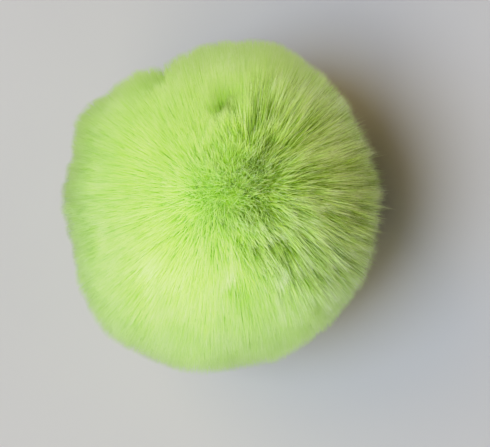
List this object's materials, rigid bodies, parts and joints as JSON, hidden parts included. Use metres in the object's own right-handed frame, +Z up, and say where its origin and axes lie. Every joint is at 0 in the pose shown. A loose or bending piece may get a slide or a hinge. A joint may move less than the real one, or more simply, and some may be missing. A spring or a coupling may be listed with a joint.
{
  "type": "pom pom",
  "caption": "Round fluffy fur pom pom with dense pile combed out from a crown and a small level spot to rest on.",
  "frame": {"origin": "middle of the ball's box in plan, on the surface that it rests on", "axes": "+Z up out of the crown, +Y along the ball's longer way across, +X across it"},
  "size_m": [0.08, 0.083, 0.078],
  "materials": {
    "fur": "long fine lime-green fur, soft and matt, with paler tips and deeper green in the partings"
  },
  "bodies": {
    "root": {"fur_ball": "fur"}
  },
  "joints": []
}
